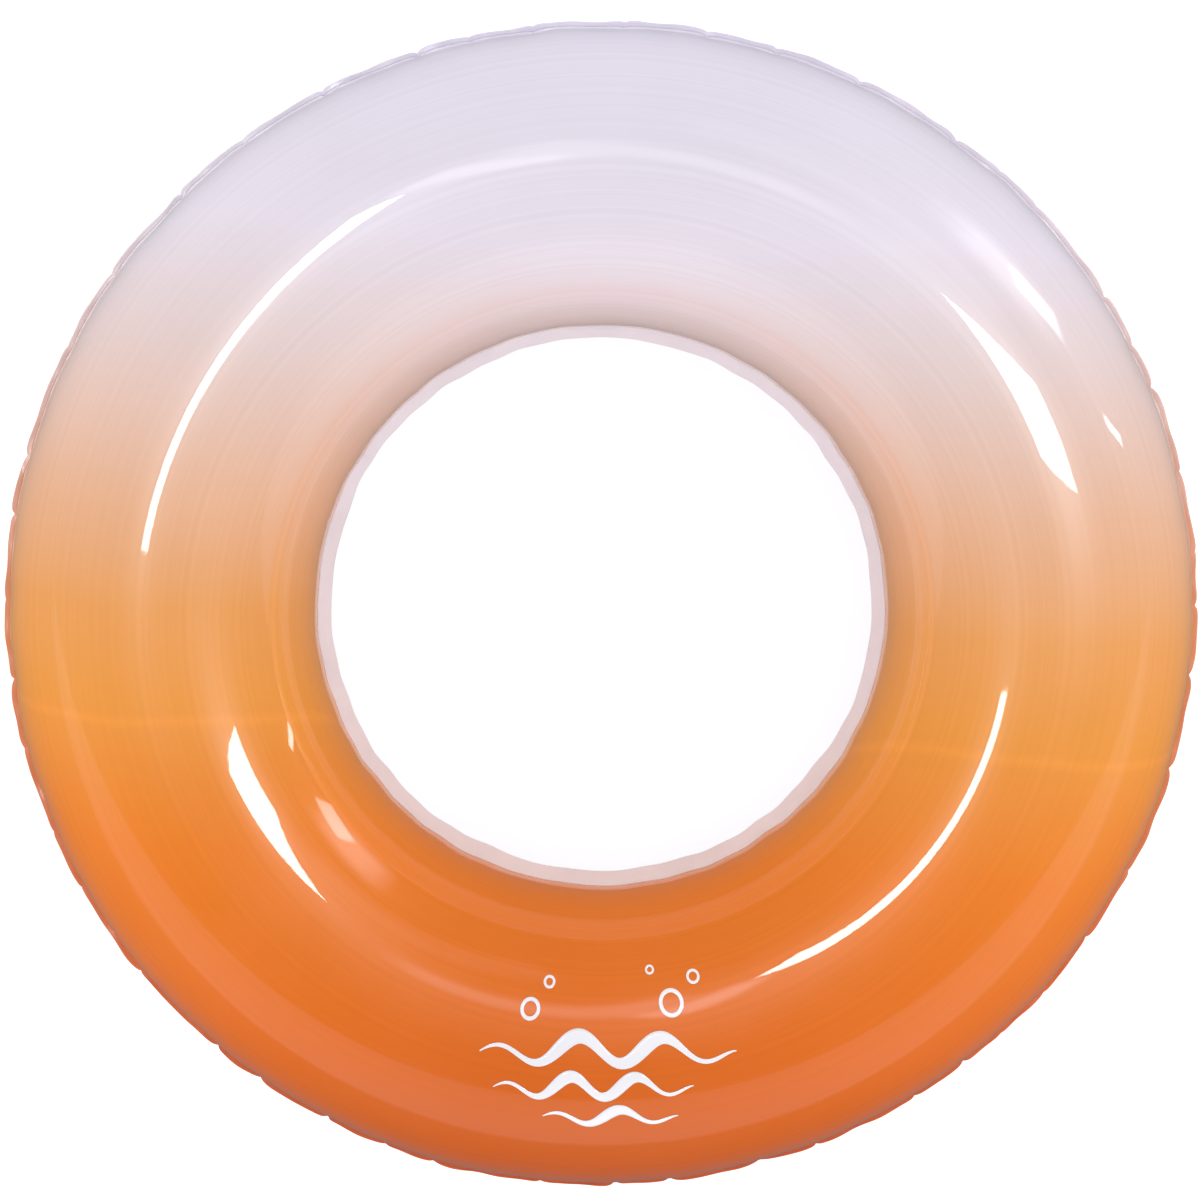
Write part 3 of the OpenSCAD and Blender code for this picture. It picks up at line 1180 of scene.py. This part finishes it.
def studio_sky():
    """Broad light for matt surfaces, and wall, floor glow and panels for mirror rays."""
    world = bpy.data.worlds.new("studio")
    bpy.context.scene.world = world
    world.use_nodes = True
    tree = world.node_tree
    background = tree.nodes["Background"]
    background.inputs["Color"].default_value = rgb((246, 246, 250))
    way = node(tree, "ShaderNodeTexCoord").outputs["Generated"]
    split = node(tree, "ShaderNodeSeparateXYZ", [way])
    back, up = split.outputs[1], split.outputs[2]
    level = vector_calc(tree, "NORMALIZE", vector_calc(tree, "MULTIPLY", way, (1, 1, 0)))
    angle = calc(tree, "DEGREES", calc(tree, "ARCCOSINE", up))
    place = scaled(tree, level, angle)

    wall = remap(tree, calc(tree, "ADD", back, up), 0.0, -0.04, 0.0, 1.0)
    wall = calc(tree, "MULTIPLY", wall, remap(tree, up, 0.0, 0.06, 0.0, MIRROR_WALL))
    glow = remap(tree, up, -0.2, -1.0, MIRROR_DARK, MIRROR_FLOOR, **SMOOTH)
    mirror = calc(tree, "ADD", wall, glow)
    panel = soft_panel_group()
    for middle, spin, wide, high, soft, strength in SKY_PANELS:
        values = [place, (*middle, 0.0), math.radians(spin), wide, high, soft]
        mask = node(tree, "ShaderNodeGroup", values, node_tree=panel)
        mirror = calc(tree, "MULTIPLY_ADD", mask, strength, mirror)

    matt = remap(tree, up, 1.0, 0.0, MATT_TOP, MATT_HORIZON)
    matt = calc(tree, "MULTIPLY_ADD", back, MATT_LEAN, matt)
    mirrored = node(tree, "ShaderNodeLightPath").outputs["Is Glossy Ray"]
    total = node(tree, "ShaderNodeMix", [mirrored, None, matt, mirror], data_type="FLOAT")
    tree.links.new(total.outputs[0], background.inputs["Strength"])


studio_sky()
print(f"{len(SKY_PANELS)} soft panels on the mirrored sky")

# %% Camera
def direction(azimuth, off_axis):
    """Unit vector that leans off_axis degrees from straight up, towards azimuth from +X to +Y."""
    a, o = math.radians(azimuth), math.radians(off_axis)
    return np.array([math.sin(o) * math.cos(a), math.sin(o) * math.sin(a), math.cos(o)])


def facing(way):
    """Rotation whose Z axis is way and whose Y axis leans towards +Y."""
    back = Vector(way.tolist())
    right = Vector((0, 1, 0)).cross(back).normalized()
    return Matrix((right, back.cross(right), back)).transposed().to_euler()


CAMERA_BACK = 8.0
CAMERA_LEAN = 6.5
CAMERA_SIDE = 96.0
CAMERA_AIM = np.array([-1.0 * MM, 4.4 * MM, SEAM_Z])
camera_data = bpy.data.cameras.new("camera")
camera_data.sensor_width = 36.0
camera_data.lens = 343.0
camera = bpy.data.objects.new("camera", camera_data)
towards = direction(CAMERA_SIDE, CAMERA_LEAN)
camera.location = CAMERA_AIM + towards * CAMERA_BACK
camera.rotation_euler = facing(towards)
bpy.context.scene.collection.objects.link(camera)
bpy.context.scene.camera = camera
bpy.context.scene.view_settings.view_transform = "Standard"
print(f"camera {CAMERA_BACK:.0f} m away, {CAMERA_LEAN} degrees from straight above")
